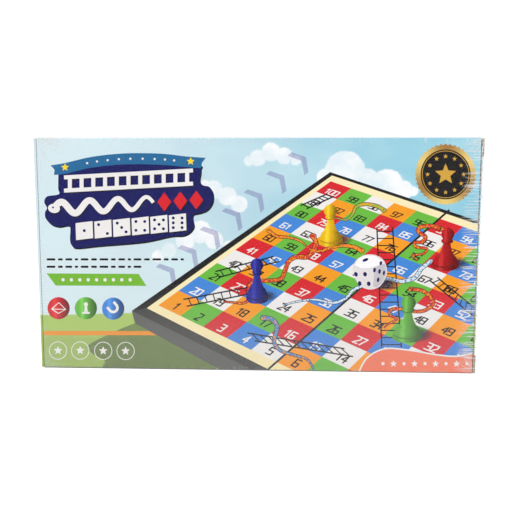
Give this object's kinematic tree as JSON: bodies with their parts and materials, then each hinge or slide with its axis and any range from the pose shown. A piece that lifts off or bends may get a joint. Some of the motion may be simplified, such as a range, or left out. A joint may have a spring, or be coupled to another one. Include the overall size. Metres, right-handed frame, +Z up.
{
  "type": "boxed magnetic board game",
  "caption": "Film-wrapped carton with tuck ends that holds a folding magnetic board in two hinged half trays, pawns with magnets and a die.",
  "frame": {"origin": "on the floor under the middle of the carton, which stands on a long edge", "axes": "+X along the carton's length to the right of its front, +Y from the front to the back, +Z up"},
  "size_m": [0.2588, 0.0384, 0.1374],
  "materials": {
    "board_tube": "printed and varnished outside, brown kraft inside",
    "board_flap": "printed and varnished outside, brown kraft inside",
    "film": "clear shrink film",
    "case": "black moulded plastic",
    "pin": "drawn steel",
    "steel": "tinned steel",
    "play": "printed and laminated",
    "pawn_red": "moulded",
    "pawn_yellow": "moulded",
    "pawn_blue": "moulded",
    "pawn_green": "moulded",
    "magnet": "ferrite disc",
    "die": "moulded, dark pips"
  },
  "bodies": {
    "carton": {"carton_sleeve": "board_tube", "film_sleeve": "film", "case_front_half": "case", "case_back_half": "case", "hinge_pin_left": "pin", "hinge_pin_right": "pin", "steel_sheet_front": "steel", "steel_sheet_back": "steel", "play_sheet_front": "play", "play_sheet_back": "play", "pawn_red": "pawn_red", "pawn_yellow": "pawn_yellow", "pawn_blue": "pawn_blue", "pawn_green": "pawn_green", "magnet_red": "magnet", "magnet_yellow": "magnet", "magnet_blue": "magnet", "magnet_green": "magnet", "die": "die"},
    "right_closure": {"right_closure_panel": "board_flap", "film_right_end": "film"},
    "right_tuck": {"right_tuck_flap": "board_flap"},
    "right_top_dust": {"right_top_dust_flap": "board_flap"},
    "right_bottom_dust": {"right_bottom_dust_flap": "board_flap"},
    "left_closure": {"left_closure_panel": "board_flap", "film_left_end": "film"},
    "left_tuck": {"left_tuck_flap": "board_flap"},
    "left_top_dust": {"left_top_dust_flap": "board_flap"},
    "left_bottom_dust": {"left_bottom_dust_flap": "board_flap"}
  },
  "joints": [
    {"name": "right_closure_hinge", "type": "hinge", "parent": "carton", "child": "right_closure", "pos_m": [0.1285, 0.01825, 0.0687], "axis": [0, 0, 1], "range_deg": [0, 150]},
    {"name": "right_tuck_hinge", "type": "hinge", "parent": "right_closure", "child": "right_tuck", "pos_m": [0.1285, -0.01645, 0.0687], "axis": [0, 0, 1], "range_deg": [-45, 0]},
    {"name": "right_top_dust_hinge", "type": "hinge", "parent": "carton", "child": "right_top_dust", "pos_m": [0.1267, 0, 0.13615], "axis": [0, -1, 0], "range_deg": [0, 63]},
    {"name": "right_bottom_dust_hinge", "type": "hinge", "parent": "carton", "child": "right_bottom_dust", "pos_m": [0.1267, 0, 0.00125], "axis": [0, 1, 0], "range_deg": [0, 63]},
    {"name": "left_closure_hinge", "type": "hinge", "parent": "carton", "child": "left_closure", "pos_m": [-0.1285, -0.01825, 0.0687], "axis": [0, 0, 1], "range_deg": [0, 150]},
    {"name": "left_tuck_hinge", "type": "hinge", "parent": "left_closure", "child": "left_tuck", "pos_m": [-0.1285, 0.01645, 0.0687], "axis": [0, 0, 1], "range_deg": [-45, 0]},
    {"name": "left_top_dust_hinge", "type": "hinge", "parent": "carton", "child": "left_top_dust", "pos_m": [-0.1267, 0, 0.13615], "axis": [0, 1, 0], "range_deg": [0, 63]},
    {"name": "left_bottom_dust_hinge", "type": "hinge", "parent": "carton", "child": "left_bottom_dust", "pos_m": [-0.1267, 0, 0.00125], "axis": [0, -1, 0], "range_deg": [0, 63]}
  ],
  "couplings": [
    {"joint": "right_tuck_hinge", "follows": "right_closure_hinge", "ratio": -0.3},
    {"joint": "right_top_dust_hinge", "follows": "right_closure_hinge", "ratio": 0.42},
    {"joint": "right_bottom_dust_hinge", "follows": "right_closure_hinge", "ratio": 0.42},
    {"joint": "left_tuck_hinge", "follows": "left_closure_hinge", "ratio": -0.3},
    {"joint": "left_top_dust_hinge", "follows": "left_closure_hinge", "ratio": 0.42},
    {"joint": "left_bottom_dust_hinge", "follows": "left_closure_hinge", "ratio": 0.42}
  ]
}
